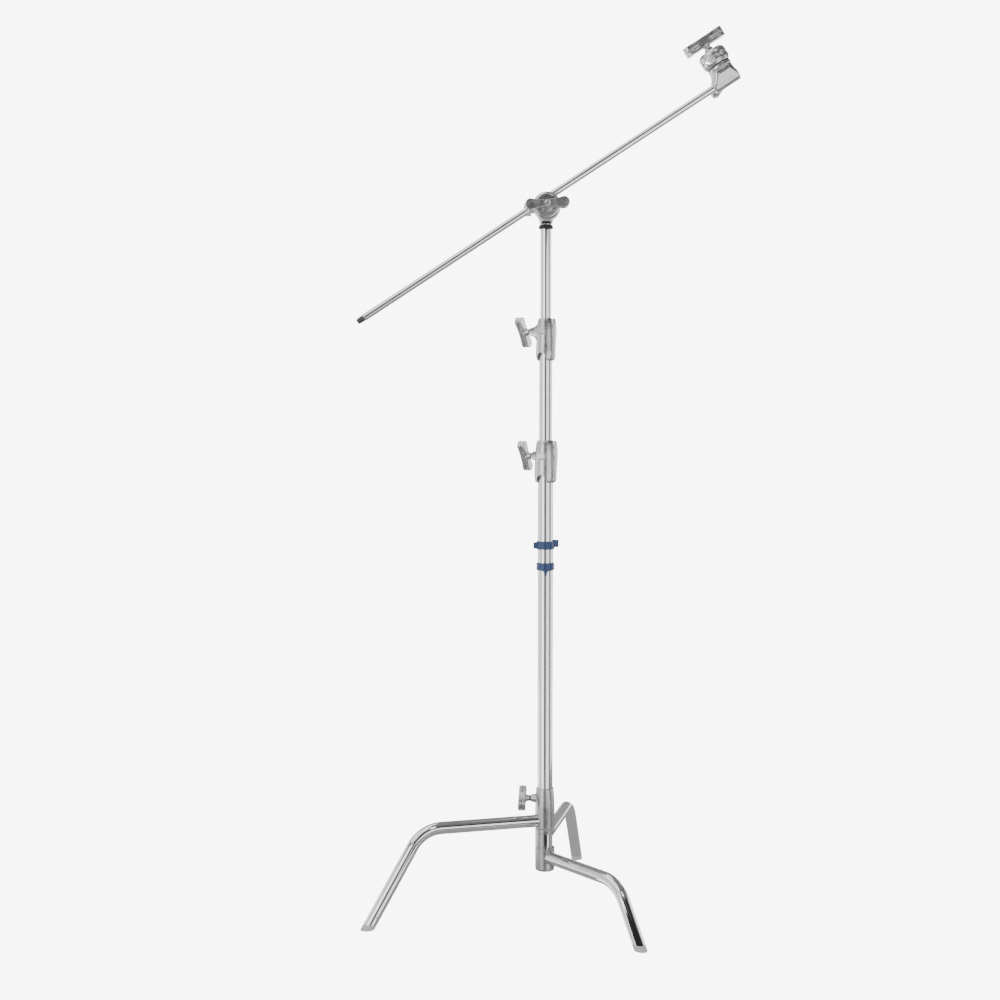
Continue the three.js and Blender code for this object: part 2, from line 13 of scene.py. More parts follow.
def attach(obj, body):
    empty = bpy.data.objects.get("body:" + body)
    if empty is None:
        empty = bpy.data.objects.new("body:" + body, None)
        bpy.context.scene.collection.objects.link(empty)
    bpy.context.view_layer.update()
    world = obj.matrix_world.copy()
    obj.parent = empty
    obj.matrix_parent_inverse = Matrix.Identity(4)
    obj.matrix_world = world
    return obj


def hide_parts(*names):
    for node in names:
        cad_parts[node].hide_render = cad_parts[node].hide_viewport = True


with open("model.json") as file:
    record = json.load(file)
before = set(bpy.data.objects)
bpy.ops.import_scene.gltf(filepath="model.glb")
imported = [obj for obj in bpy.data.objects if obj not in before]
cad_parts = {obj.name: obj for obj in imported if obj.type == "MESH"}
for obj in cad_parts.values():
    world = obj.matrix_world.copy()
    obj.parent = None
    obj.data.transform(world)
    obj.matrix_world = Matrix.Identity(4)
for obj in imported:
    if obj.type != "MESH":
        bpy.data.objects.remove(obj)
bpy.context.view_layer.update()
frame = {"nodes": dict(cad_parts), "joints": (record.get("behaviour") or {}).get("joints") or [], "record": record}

MM = 0.001
RECORD = frame["record"]
JOINT = {joint["name"]: joint for joint in frame["joints"]}
BODY_OF = {node: body for body, nodes in RECORD["behaviour"]["bodies"].items() for node in nodes}
SLOT_OF = {row["node"]: row["material_slot"] for row in RECORD["subparts"]}

SIDES = 96  # facets round a turned piece
FILLET_STEPS = 4
SUPPORT = 1.0  # from the end of a straight stretch to its extra point
CAST_GRAIN = 0.8  # size of the faces of a cast piece
CAST_SOFTNESS = 5  # smoothing passes that round a cast piece's edges


# ---- camera ----

COLUMN = Vector(JOINT["middle_leg_fold"]["pos_m"])
COLUMN.z = 0.0
CAMERA_FROM_COLUMN = Vector((-0.104, -3.166, 1.122))
CAMERA_PITCH = math.radians(3.15)
CAMERA_LENS = 49.87


def make_camera():
    data = bpy.data.cameras.new("camera")
    data.lens = CAMERA_LENS
    data.clip_start = 0.05
    data.clip_end = 100.0
    camera = bpy.data.objects.new("camera", data)
    camera.location = COLUMN + CAMERA_FROM_COLUMN
    camera.rotation_euler = (math.pi / 2 - CAMERA_PITCH, 0, 0)
    bpy.context.scene.collection.objects.link(camera)
    bpy.context.scene.camera = camera


# ---- local frames ----


class Place:
    """A local frame in millimetres: an origin in the row frame, a Z axis and an X axis."""

    def __init__(self, origin, z_axis, x_axis):
        z = Vector(z_axis).normalized()
        x = Vector(x_axis)
        x = (x - x.dot(z) * z).normalized()
        axes = Matrix((x, z.cross(x), z)).transposed().to_4x4()
        self.matrix = Matrix.Translation(Vector(origin)) @ axes @ Matrix.Scale(MM, 4)
        self.inverse = self.matrix.inverted()

    def points(self, node):
        return [self.inverse @ vertex.co for vertex in frame["nodes"][node].data.vertices]

    def span(self, node):
        """A node's lowest and highest place along Z."""
        heights = [point.z for point in self.points(node)]
        return min(heights), max(heights)

    def radii(self, node):
        """A node's nearest and farthest distance from Z."""
        reaches = [math.hypot(point.x, point.y) for point in self.points(node)]
        return min(reaches), max(reaches)

    def long_way(self, node):
        """The direction across Z in which a node is longest, in the row frame."""
        points = self.points(node)
        xx = sum(point.x**2 for point in points)
        yy = sum(point.y**2 for point in points)
        xy = sum(point.x * point.y for point in points)
        angle = math.atan2(2 * xy, xx - yy) / 2
        return self.matrix.to_3x3() @ Vector((math.cos(angle), math.sin(angle), 0))


# ---- solids, in millimetres ----


def new_solid(vertices, faces):
    mesh = bpy.data.meshes.new("solid")
    mesh.from_pydata(vertices, [], faces)
    made = bmesh.new()
    made.from_mesh(mesh)
    bmesh.ops.recalc_face_normals(made, faces=made.faces)
    made.to_mesh(mesh)
    made.free()
    solid = bpy.data.objects.new("solid", mesh)
    bpy.context.scene.collection.objects.link(solid)
    return solid


def softened(points, fillet, closed):
    """A line of points with its corners rounded."""
    made = []
    last = len(points) - 1
    for i, point in enumerate(points):
        corner = Vector(point)
        if not closed and i in (0, last):
            made.append(corner)
            continue
        before = Vector(points[i - 1]) - corner
        after = Vector(points[0 if i == last else i + 1]) - corner
        start = corner + before.normalized() * min(fillet, 0.45 * before.length)
        end = corner + after.normalized() * min(fillet, 0.45 * after.length)
        for step in range(FILLET_STEPS + 1):
            t = step / FILLET_STEPS
            made.append(start.lerp(corner, t).lerp(corner.lerp(end, t), t))
    return made


def supported(points, closed):
    """The line with extra points near the ends of its straight stretches, which then shade flat."""
    made = []
    for i, point in enumerate(points):
        made.append(point)
        if not closed and i == len(points) - 1:
            continue
        ahead = points[(i + 1) % len(points)]
        length = (ahead - point).length
        if length > 4 * SUPPORT:
            made.append(point.lerp(ahead, SUPPORT / length))
            made.append(ahead.lerp(point, SUPPORT / length))
    return made


def turned(profile, fillet=0.5, sides=SIDES):
    """A turned solid about Z from (radius, height) points. A profile off the axis is a ring."""
    closed = profile[0][0] > 0
    vertices = []
    rows = []
    for radius, height in supported(softened(profile, fillet, closed), closed):
        start = len(vertices)
        if radius < 1e-6:
            vertices.append((0, 0, height))
            rows.append([start] * sides)
            continue
        for i in range(sides):
            angle = 2 * math.pi * i / sides
            vertices.append((radius * math.cos(angle), radius * math.sin(angle), height))
        rows.append([start + i for i in range(sides)])
    if closed:
        rows.append(rows[0])
    faces = []
    for low, high in zip(rows, rows[1:]):
        for i in range(sides):
            j = (i + 1) % sides
            corners = list(dict.fromkeys((low[i], low[j], high[j], high[i])))
            if len(corners) > 2:
                faces.append(corners)
    return new_solid(vertices, faces)


def rod(radius, low, high, fillet=0.4, sides=SIDES):
    return turned([(0, low), (radius, low), (radius, high), (0, high)], fillet, sides)


def ring(inner, outer, low, high, fillet=0.4):
    return turned([(inner, low), (outer, low), (outer, high), (inner, high)], fillet)


def prism(outline, low, high):
    """An upright prism on an outline of (x, y) points."""
    count = len(outline)
    vertices = [(x, y, z) for z in (low, high) for x, y in outline]
    faces = [list(range(count)), list(range(count, 2 * count))]
    for i in range(count):
        j = (i + 1) % count
        faces.append([i, j, count + j, count + i])
    return new_solid(vertices, faces)


def block(low, high):
    """A box between two opposite corners."""
    (x0, y0, z0), (x1, y1, z1) = low, high
    return prism([(x0, y0), (x1, y0), (x1, y1), (x0, y1)], z0, z1)


def hull(points):
    made = bmesh.new()
    for point in points:
        made.verts.new(point)
    bmesh.ops.convex_hull(made, input=made.verts)
    mesh = bpy.data.meshes.new("solid")
    made.to_mesh(mesh)
    made.free()
    solid = bpy.data.objects.new("solid", mesh)
    bpy.context.scene.collection.objects.link(solid)
    return solid


def arc(centre, radius, start, end, steps=12, squeeze=1.0):
    """Points on an arc, with its second direction squeezed. Angles are in degrees."""
    made = []
    for step in range(steps + 1):
        angle = math.radians(start + (end - start) * step / steps)
        made.append((centre[0] + radius * math.cos(angle), centre[1] + radius * squeeze * math.sin(angle)))
    return made


def circle(radius, steps=48):
    return arc((0, 0), radius, 0, 360 * (steps - 1) / steps, steps - 1)


def curve_through(start, middle, end, steps=10):
    """Points of a quadratic curve, both ends included."""
    a, b, c = Vector(start), Vector(middle), Vector(end)
    return [tuple(a.lerp(b, i / steps).lerp(b.lerp(c, i / steps), i / steps)) for i in range(steps + 1)]


def moved(solid, x=0.0, y=0.0, z=0.0):
    solid.data.transform(Matrix.Translation((x, y, z)))
    return solid


def spun(solid, axis, degrees):
    solid.data.transform(Matrix.Rotation(math.radians(degrees), 4, axis))
    return solid


def along_x(solid):
    return spun(solid, "Y", 90)  # +Z turns to +X


def along_front(solid):
    return spun(solid, "X", 90)  # +Z turns to -Y


def applied(solid):
    """The solid with its modifiers worked into its mesh."""
    bpy.context.view_layer.update()
    graph = bpy.context.evaluated_depsgraph_get()
    mesh = bpy.data.meshes.new_from_object(solid.evaluated_get(graph))
    solid.modifiers.clear()
    solid.data = mesh
    return solid


def combined(first, others, operation):
    for other in others:
        step = first.modifiers.new("combine", "BOOLEAN")
        step.operation = operation
        step.solver = "MANIFOLD"
        step.object = other
        applied(first)
        bpy.data.objects.remove(other)
    return first


def joined(first, *others):
    return combined(first, others, "UNION")


def cut(first, *others):
    return combined(first, others, "DIFFERENCE")


def cast(solid, grain=CAST_GRAIN, softness=CAST_SOFTNESS):
    """The solid as a casting: even small faces, and soft edges and corners."""
    remesh = solid.modifiers.new("grain", "REMESH")
    remesh.mode = "VOXEL"
    remesh.voxel_size = grain
    smooth = solid.modifiers.new("soften", "SMOOTH")
    smooth.factor = 0.5
    smooth.iterations = softness
    return applied(solid)


def swept(path, radius, bore=0.0, sides=48):
    """A round tube or rod along a path in the XZ plane, given as (x, z) points."""
    points = [Vector((x, 0, z)) for x, z in path]
    sections = [radius, bore] if bore else [radius]
    vertices = []
    rows = []
    for section in sections:
        for i, point in enumerate(points):
            ahead = points[min(i + 1, len(points) - 1)] - points[max(i - 1, 0)]
            across = ahead.cross(Vector((0, 1, 0))).normalized()
            start = len(vertices)
            for k in range(sides):
                angle = 2 * math.pi * k / sides
                offset = across * math.cos(angle) + Vector((0, math.sin(angle), 0))
                vertices.append(point + offset * section)
            rows.append([start + k for k in range(sides)])
    if bore:
        count = len(points)
        rows = rows[:count] + rows[count:][::-1]
        rows.append(rows[0])
    faces = []
    for low, high in zip(rows, rows[1:]):
        for k in range(sides):
            j = (k + 1) % sides
            faces.append([low[k], low[j], high[j], high[k]])
    if not bore:
        faces += [rows[0][::-1], rows[-1]]
    return new_solid(vertices, faces)


THREAD_PITCH = 1.75
THREAD_DEPTH = 0.55


def threaded(radius, low, high, thread_low, thread_high, sides=40):
    """A rod with a screw thread between two heights."""
    rise = THREAD_PITCH / 6
    heights = [low]
    while heights[-1] + rise < high:
        heights.append(heights[-1] + rise)
    heights.append(high)
    vertices = [(0, 0, low)]
    for height in heights:
        inside = min(height - thread_low, thread_high - height) / THREAD_PITCH
        depth = THREAD_DEPTH * min(max(inside, 0.0), 1.0)
        for k in range(sides):
            phase = (height / THREAD_PITCH - k / sides) % 1.0
            reach = radius - depth * abs(2 * phase - 1)
            angle = 2 * math.pi * k / sides
            vertices.append((reach * math.cos(angle), reach * math.sin(angle), height))
    vertices.append((0, 0, high))
    faces = []
    last = len(vertices) - 1
    rows = len(heights)
    for k in range(sides):
        j = (k + 1) % sides
        faces.append([0, 1 + j, 1 + k])
        faces.append([last, last - sides + k, last - sides + j])
        for row in range(rows - 1):
            start = 1 + row * sides
            faces.append([start + k, start + j, start + sides + j, start + sides + k])
    return new_solid(vertices, faces)


# ---- materials ----


class Finish:
    """A procedural material in the object's own coordinates."""

    def __init__(self, name, base, metallic, roughness):
        self.material = bpy.data.materials.new(name)
        self.material.use_nodes = True
        self.tree = self.material.node_tree
        self.shader = self.tree.nodes["Principled BSDF"]
        self.shader.inputs["Base Color"].default_value = (*base, 1)
        self.shader.inputs["Metallic"].default_value = metallic
        self.shader.inputs["Roughness"].default_value = roughness
        self.place = self.tree.nodes.new("ShaderNodeTexCoord").outputs["Object"]

    def noise(self, scale, stretch=(1, 1, 1), detail=3.0):
        """Noise with scale features to the metre, stretched along an axis by a factor below 1."""
        mapping = self.tree.nodes.new("ShaderNodeMapping")
        mapping.inputs["Scale"].default_value = stretch
        self.tree.links.new(self.place, mapping.inputs["Vector"])
        noise = self.tree.nodes.new("ShaderNodeTexNoise")
        noise.inputs["Scale"].default_value = scale
        noise.inputs["Detail"].default_value = detail
        self.tree.links.new(mapping.outputs["Vector"], noise.inputs["Vector"])
        return noise.outputs["Fac"]

    def ramp(self, source, low, high, start=0.3, end=0.7):
        """A number that goes from low to high as source goes from start to end."""
        ramp = self.tree.nodes.new("ShaderNodeMapRange")
        ramp.inputs["From Min"].default_value = start
        ramp.inputs["From Max"].default_value = end
        ramp.inputs["To Min"].default_value = low
        ramp.inputs["To Max"].default_value = high
        self.tree.links.new(source, ramp.inputs["Value"])
        return ramp.outputs["Result"]

    def blend(self, share, first, second):
        """A colour between two colours, or between the colour so far and another."""
        mix = self.tree.nodes.new("ShaderNodeMix")
        mix.data_type = "RGBA"
        self.tree.links.new(share, mix.inputs["Factor"])
        for socket, colour in (("A_Color", first), ("B_Color", second)):
            target = next(i for i in mix.inputs if i.identifier == socket)
            if isinstance(colour, bpy.types.NodeSocket):
                self.tree.links.new(colour, target)
            else:
                target.default_value = (*colour, 1)
        return next(o for o in mix.outputs if o.identifier == "Result_Color")

    def edges(self, start=0.55, end=0.68):
        """One on convex edges and nought elsewhere."""
        geometry = self.tree.nodes.new("ShaderNodeNewGeometry")
        return self.ramp(geometry.outputs["Pointiness"], 0, 1, start, end)

    def colour(self, source):
        self.tree.links.new(source, self.shader.inputs["Base Color"])

    def roughness(self, source):
        self.tree.links.new(source, self.shader.inputs["Roughness"])

    def bump(self, source, strength, depth):
        bump = self.tree.nodes.new("ShaderNodeBump")
        bump.inputs["Strength"].default_value = strength
        bump.inputs["Distance"].default_value = depth
        self.tree.links.new(source, bump.inputs["Height"])
        self.tree.links.new(bump.outputs["Normal"], self.shader.inputs["Normal"])


def chrome_finish():
    """Polished chrome, with drawn lines along the tube and smudges."""
    made = Finish("chrome", (0.78, 0.79, 0.80), 1, 0.07)
    smudge = made.noise(14, (1, 1, 0.25), 5)
    made.colour(made.blend(made.ramp(smudge, 0, 1), (0.74, 0.745, 0.75), (0.82, 0.825, 0.83)))
    made.roughness(made.ramp(smudge, 0.05, 0.13))
    made.bump(made.noise(1400, (1, 1, 0.01), 2), 0.05, 0.00002)
    return made.material


def arm_finish():
    """Chrome rod, a little more worn than the tubes."""
    made = Finish("chrome_rod", (0.78, 0.79, 0.80), 1, 0.08)
    smudge = made.noise(22, detail=6)
    made.colour(made.blend(made.ramp(smudge, 0, 1), (0.73, 0.735, 0.74), (0.82, 0.825, 0.83)))
    made.roughness(made.ramp(smudge, 0.06, 0.16))
    made.bump(made.noise(900, detail=4), 0.04, 0.00002)
    return made.material


def casting_finish(name, dark, light, rough_low, rough_high):
    """Satin plated casting: a fine grain, cloudy plating, and edges rubbed bright."""
    made = Finish(name, dark, 1, rough_low)
    cloud = made.noise(70, detail=5)
    plated = made.blend(made.ramp(cloud, 0, 1), dark, light)
    worn = made.edges()
    made.colour(made.blend(worn, plated, tuple(min(1, c * 1.1) for c in light)))
    made.roughness(made.ramp(cloud, rough_low, rough_high))
    made.bump(made.noise(1500, detail=4), 0.03, 0.00008)
    return made.material


def steel_finish():
    made = Finish("steel", (0.55, 0.55, 0.56), 1, 0.3)
    cloud = made.noise(160, detail=4)
    made.colour(made.blend(made.ramp(cloud, 0, 1), (0.47, 0.47, 0.48), (0.62, 0.62, 0.61)))
    made.roughness(made.ramp(cloud, 0.2, 0.38))
    made.bump(made.noise(2500, detail=3), 0.1, 0.00004)
    return made.material


def brass_finish():
    made = Finish("brass", (0.66, 0.48, 0.2), 1, 0.35)
    cloud = made.noise(300, detail=4)
    made.colour(made.blend(made.ramp(cloud, 0, 1), (0.5, 0.34, 0.13), (0.72, 0.54, 0.25)))
    made.roughness(made.ramp(cloud, 0.25, 0.45))
    return made.material


def moulded_finish(name, dark, light, rough_low, rough_high, grain, depth):
    """Moulded plastic or rubber: a fine mould grain, and colour that varies a little."""
    made = Finish(name, dark, 0, rough_low)
    cloud = made.noise(120, detail=4)
    body = made.blend(made.ramp(cloud, 0, 1), dark, light)
    rubbed = tuple(min(1, c * 1.6 + 0.02) for c in light)
    made.colour(made.blend(made.edges(0.54, 0.64), body, rubbed))
    made.roughness(made.ramp(cloud, rough_low, rough_high))
    made.bump(made.noise(grain, detail=3), 0.25, depth)
    return made.material


def make_materials():
    """The material of each slot in the record."""
    return {
        "chrome_tube": chrome_finish(),
        "arm": arm_finish(),
        "hub_casting": casting_finish("hub_casting", (0.42, 0.42, 0.43), (0.5, 0.5, 0.51), 0.28, 0.4),
        "satin_casting": casting_finish(
            "satin_casting", (0.54, 0.535, 0.54), (0.62, 0.615, 0.62), 0.24, 0.34
        ),
        "steel": steel_finish(),
        "brass_pad": brass_finish(),
        "rubber": moulded_finish(
            "rubber", (0.012, 0.012, 0.013), (0.03, 0.03, 0.031), 0.5, 0.7, 1800, 0.0001
        ),
        "blue_plastic": moulded_finish(
            "blue_plastic", (0.012, 0.035, 0.115), (0.02, 0.05, 0.15), 0.3, 0.45, 1600, 0.00005
        ),
        "nylon": moulded_finish("nylon", (0.62, 0.6, 0.54), (0.74, 0.72, 0.66), 0.4, 0.55, 1500, 0.00005),
        "grey_plastic": moulded_finish(
            "grey_plastic", (0.035, 0.035, 0.036), (0.06, 0.06, 0.062), 0.45, 0.6, 1700, 0.0001
        ),
        "light_plastic": moulded_finish(
            "light_plastic", (0.4, 0.4, 0.4), (0.47, 0.47, 0.47), 0.4, 0.55, 1700, 0.0001
        ),
    }


# ---- placing pieces ----

ARM_NODES = ("arm_rod",)  # chromed pieces with the arm's own wear
CAST_SLOTS = ("hub_casting", "satin_casting")  # their soft edges shade round, with no sharp lines


def detail(solid, name, place, node, slot):
    """A solid, put where the place says, on the body of a CAD node."""
    solid.name = name
    solid.data.transform(place.matrix)
    solid.data.shade_smooth()
    if slot not in CAST_SLOTS:
        solid.data.set_sharp_from_angle(angle=math.radians(38))
    solid.data.materials.clear()
    solid.data.materials.append(MATERIALS["arm" if node in ARM_NODES else slot])
    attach(solid, BODY_OF[node])
    return solid


def made_piece(solid, place, node):
    """The solid, put where the place says, stands for a CAD node."""
    detail(solid, node + "_piece", place, node, SLOT_OF[node])
    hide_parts(node)
    return solid


def ring_piece(node, place, fillet=0.3):
    """A plain ring, with the size of its CAD node."""
    inner, outer = place.radii(node)
    return made_piece(ring(inner, outer, *place.span(node), fillet), place, node)


def rod_piece(node, place, fillet=0.3):
    outer = place.radii(node)[1]
    return made_piece(rod(outer, *place.span(node), fillet), place, node)


UP = (0, 0, 1)
AT_COLUMN = Place(COLUMN, UP, (1, 0, 0))


# ---- column and risers ----

TUBE_WALL = 1.5


def tube(node):
    outer = AT_COLUMN.radii(node)[1]
    low, high = AT_COLUMN.span(node)
    made_piece(ring(outer - TUBE_WALL, outer, low, high, 0.45), AT_COLUMN, node)


def foot_bush(node, tube_node):
    """The nylon bush under a riser: a collar with a spigot up into the tube."""
    outer = AT_COLUMN.radii(node)[1]
    low, high = AT_COLUMN.span(node)
    spigot = AT_COLUMN.radii(tube_node)[0] - 0.3
    shoulder = AT_COLUMN.span(tube_node)[0] - 0.3
    profile = [
        (spigot - 4, low), (outer, low), (outer, shoulder), (spigot, shoulder),
        (spigot, high), (spigot - 4, high),
    ]
    made_piece(turned(profile, 0.6), AT_COLUMN, node)


def column_plug():
    node = "column_plug"
    low, high = AT_COLUMN.span(node)
    outer = AT_COLUMN.radii(node)[1]
    spigot = outer - TUBE_WALL - 0.3
    shoulder = AT_COLUMN.span("column_tube")[0] - 0.3
    profile = [
        (0, low + 0.8), (outer - 6, low + 0.8), (outer - 4, low), (outer, low), (outer, shoulder),
        (spigot, shoulder), (spigot, high), (0, high),
    ]
    made_piece(turned(profile, 0.5), AT_COLUMN, node)


STUD_RADIUS = 8.0
STUD_GROOVE = (24.0, 3.0, 1.4)  # height of its middle over the shoulder, half length, depth


def stud():
    """The stud on the last riser, with its plug inside the tube and a groove for a clamp screw."""
    node = "stud"
    low, top = AT_COLUMN.span(node)
    plug = AT_COLUMN.radii(node)[1]
    shoulder = AT_COLUMN.span("riser_2_tube")[1]
    middle, half, depth = STUD_GROOVE
    groove = shoulder + middle
    profile = [
        (0, low), (plug, low), (plug, shoulder), (STUD_RADIUS, shoulder),
        (STUD_RADIUS, groove - half - 2), (STUD_RADIUS - depth, groove - half),
        (STUD_RADIUS - depth, groove + half), (STUD_RADIUS, groove + half + 2),
        (STUD_RADIUS, top - 1.5), (STUD_RADIUS - 1.5, top), (0, top),
    ]
    made_piece(turned(profile, 0.6), AT_COLUMN, node)


def column_and_risers():
    for node in ("column_tube", "riser_1_tube", "riser_2_tube"):
        tube(node)
    foot_bush("riser_1_bush", "riser_1_tube")
    foot_bush("riser_2_bush", "riser_2_tube")
    column_plug()
    stud()
    ring_piece("rubber_washer", AT_COLUMN, 1.6)
    ring_piece("hub_washer", AT_COLUMN, 0.2)
    ring_piece("sliding_leg_liner", AT_COLUMN, 0.3)
    ring_piece("lower_collar_bush", AT_COLUMN, 0.2)
    ring_piece("upper_collar_bush", AT_COLUMN, 0.2)


# ---- blue rings ----

RING_OUTER = 20.6
RING_BORE = 17.8
TAB_DROP = 12.0  # how far the lower ring's pointed tab hangs down


def rounded_lug(reach, half_width, low, high, side, corner=2.5):
    """A lug out from the column, with round corners, towards an azimuth in degrees."""
    outline = [(16, -half_width), (reach - corner, -half_width)]
    outline += arc((reach - corner, corner - half_width), corner, -90, 0, 4)
    outline += arc((reach - corner, half_width - corner), corner, 0, 90, 4)
    outline.append((16, half_width))
    return spun(prism(outline, low, high), "Z", side)


def blue_rings():
    low, high = AT_COLUMN.span("upper_blue_ring")
    bottom = low
    top = high - 2.5
    body = ring(RING_BORE, RING_OUTER, bottom, top, 0.8)
    body = joined(
        body,
        rounded_lug(27.5, 5, bottom + 2, top - 2.5, 188),
        rounded_lug(31, 5, bottom + 4, high, 14),
    )
    body = cut(body, rod(RING_BORE, bottom - 5, high + 5))
    made_piece(cast(body, 0.45, 3), AT_COLUMN, "upper_blue_ring")

    low, high = AT_COLUMN.span("lower_blue_ring")
    base = low + TAB_DROP
    right = curve_through((2.2, low + 1), (3, base - 1), (9, base), 5) + [(13, base + 3)]
    left = [(-x, y) for x, y in reversed(right)]
    tab = along_front(prism(left + [(0, low)] + right, 0, 21))
    tab = combined(tab, [rod(RING_OUTER, low - 1, base + 5)], "INTERSECT")
    body = joined(ring(RING_BORE, RING_OUTER, base, high, 0.8), tab)
    body = cut(body, rod(RING_BORE, low - 5, high + 5))
    made_piece(cast(body, 0.45, 3), AT_COLUMN, "lower_blue_ring")


# ---- legs and hubs ----

LEG_RADIUS = 14.0
LEG_WALL = 1.6
LEG_RISE = 0.028  # slope of the level stretch
LEG_FALL = math.radians(59)  # slope of the down stretch
LEG_BEND = 75.0
BOOT = 13.0  # height of the plastic boot on a leg's foot
LEGS = {  # azimuth in degrees, height at the column's axis, corner and start from that axis
    "lowest": (306.2, 120.0, 256.0, 18.5),
    "middle": (75.2, 165.6, 266.7, 18.5),
    "sliding": (200.0, 204.4, 296.5, 19.7),
}


def leg_place(leg):
    azimuth = math.radians(LEGS[leg][0])
    return Place(COLUMN, UP, (math.cos(azimuth), math.sin(azimuth), 0))


def leg_line(height, corner, start, steps=24):
    """The centre line of a leg as (outward, up) points: level, a bend, then down to the floor."""
    out = Vector((1, LEG_RISE)).normalized()
    down = Vector((math.cos(LEG_FALL), -math.sin(LEG_FALL)))
    turn = out.angle(down)
    top = Vector((corner, height + LEG_RISE * corner))
    setback = LEG_BEND * math.tan(turn / 2)
    bend_start = top - out * setback
    inward = Vector((out.y, -out.x))
    points = [Vector((start, height + LEG_RISE * start))]
    for step in range(steps + 1):
        angle = turn * step / steps
        points.append(
            bend_start + out * LEG_BEND * math.sin(angle) + inward * LEG_BEND * (1 - math.cos(angle))
        )
    end = top + down * ((top.y + LEG_RADIUS) / math.sin(LEG_FALL))
    points.append(end)
    return supported(points, False)


def along_leg(points, distance):
    """A point at a distance back up the leg from where its line crosses the floor."""
    direction = (points[-1] - points[-2]).normalized()
    crossing = points[-1] - direction * (LEG_RADIUS / math.sin(LEG_FALL))
    return crossing - direction * distance, direction


def leg(name):
    _, height, corner, start = LEGS[name]
    place = leg_place(name)
    line = leg_line(height, corner, start)
    tube_solid = swept(line, LEG_RADIUS, LEG_RADIUS - LEG_WALL)
    tube_solid = cut(tube_solid, block((0, -60, -100), (600, 60, BOOT)))
    made_piece(tube_solid, place, name + "_leg_tube")
    foot_cap(name, line, place)
    weld_bead(name, height, place)
    leg_pin(name, line, place)


def foot_cap(name, line, place):
    """The plastic boot that a leg stands on, with its plug inside the tube."""
    inside, _ = along_leg(line, 40)
    plug = swept([inside, line[-1]], LEG_RADIUS - LEG_WALL - 0.3)
    boot = swept([inside, line[-1]], LEG_RADIUS)
    boot = cut(boot, block((0, -60, BOOT - 0.3), (600, 60, 400)))
    cap = joined(plug, boot)
    cap = cut(cap, block((0, -60, -100), (600, 60, 0)))
    made_piece(cast(cap, 0.6, 3), place, name + "_leg_foot_cap")


def weld_bead(name, height, place):
    """The weld round the tube where it leaves the hub."""
    steps = 72
    bead = []
    faces = []
    around = 8
    for i in range(steps):
        angle = 2 * math.pi * i / steps
        y = LEG_RADIUS * math.cos(angle)
        up = LEG_RADIUS * math.sin(angle)
        x = math.sqrt(HUB_RADIUS**2 - y**2) + 0.2
        centre = Vector((x, y, height + LEG_RISE * x + up))
        outward = Vector((0, math.cos(angle), math.sin(angle)))
        swell = 1.1 + 0.15 * math.sin(14 * angle)
        for k in range(around):
            turn = 2 * math.pi * k / around
            bead.append(centre + outward * swell * math.cos(turn) + Vector((swell * math.sin(turn), 0, 0)))
        for k in range(around):
            j = (k + 1) % around
            here = i * around
            ahead = ((i + 1) % steps) * around
            faces.append([here + k, here + j, ahead + j, ahead + k])
    detail(new_solid(bead, faces), name + "_leg_weld", place, name + "_leg_tube", "hub_casting")


def leg_pin(name, line, place):
    """The pin through a leg's end that holds the plug."""
    centre, direction = along_leg(line, 34)
    pin = along_front(rod(2.2, -LEG_RADIUS - 0.35, LEG_RADIUS + 0.35, 0.3, 24))
    moved(pin, centre.x, 0, centre.y)
    detail(pin, name + "_leg_pin", place, name + "_leg_tube", "steel")


HUB_RADIUS = 22.5
HUB_BORE = 18.0
LUG = (232.6, 265.0)  # azimuths of the stop lug's sides
LUG_EASE = 3.0  # kept off the lug's far side for the weld of the folded leg
MIDDLE_FOLD = 129.0


def sector(radius, start, end, low, high):
    return prism([(0, 0)] + arc((0, 0), radius, start, end, 16), low, high)


def leg_socket(name):
    azimuth, height = LEGS[name][:2]
    hole = along_x(rod(LEG_RADIUS + 0.35, HUB_BORE, 60))
    spun(hole, "Y", -math.degrees(math.atan(LEG_RISE)))
    return spun(moved(hole, 0, 0, height), "Z", azimuth)


def lowest_hub():
    node = "lowest_leg_hub"
    low, lug_top = AT_COLUMN.span(node)
    high = AT_COLUMN.span("middle_leg_hub")[0] - 0.3
    profile = [
        (HUB_BORE, low), (HUB_RADIUS - 4, low), (HUB_RADIUS - 1, low + 1.5), (HUB_RADIUS, low + 5),
        (HUB_RADIUS, high), (HUB_BORE, high),
    ]
    lug = sector(HUB_RADIUS, LUG[0], LUG[1] - LUG_EASE, high - 3, lug_top)
    lug = cut(lug, rod(HUB_BORE + 0.4, high - 4, lug_top + 1))
    notch = sector(40, LUG[1] + 4, LUG[1] + 30, high - 6, high + 1)
    body = cut(joined(cut(turned(profile), notch), lug), leg_socket("lowest"))
    made_piece(cast(body, 0.6, 3), AT_COLUMN, node)


def middle_hub():
    node = "middle_leg_hub"
    low, high = AT_COLUMN.span(node)
    window_top = AT_COLUMN.span("lowest_leg_hub")[1] + 0.3
    window = sector(40, LUG[0] - 0.4, LUG[1] + MIDDLE_FOLD + 0.4, low - 1, window_top)
    body = cut(ring(HUB_BORE, HUB_RADIUS, low, high, 0.8), window, leg_socket("middle"))
    made_piece(cast(body, 0.6, 3), AT_COLUMN, node)


SLIDER_BOSS = 33.0
SLIDER_CLAMP = 256.0


def boss(reach, wide, narrow, sides=64):
    """A tapered boss along +X that carries a clamp screw."""
    return along_x(turned([(0, 9), (wide, 9), (narrow, reach), (0, reach)], 0.8, sides))


def screw_hole(reach):
    return along_x(rod(5.4, 0, reach + 1, 0, 40))


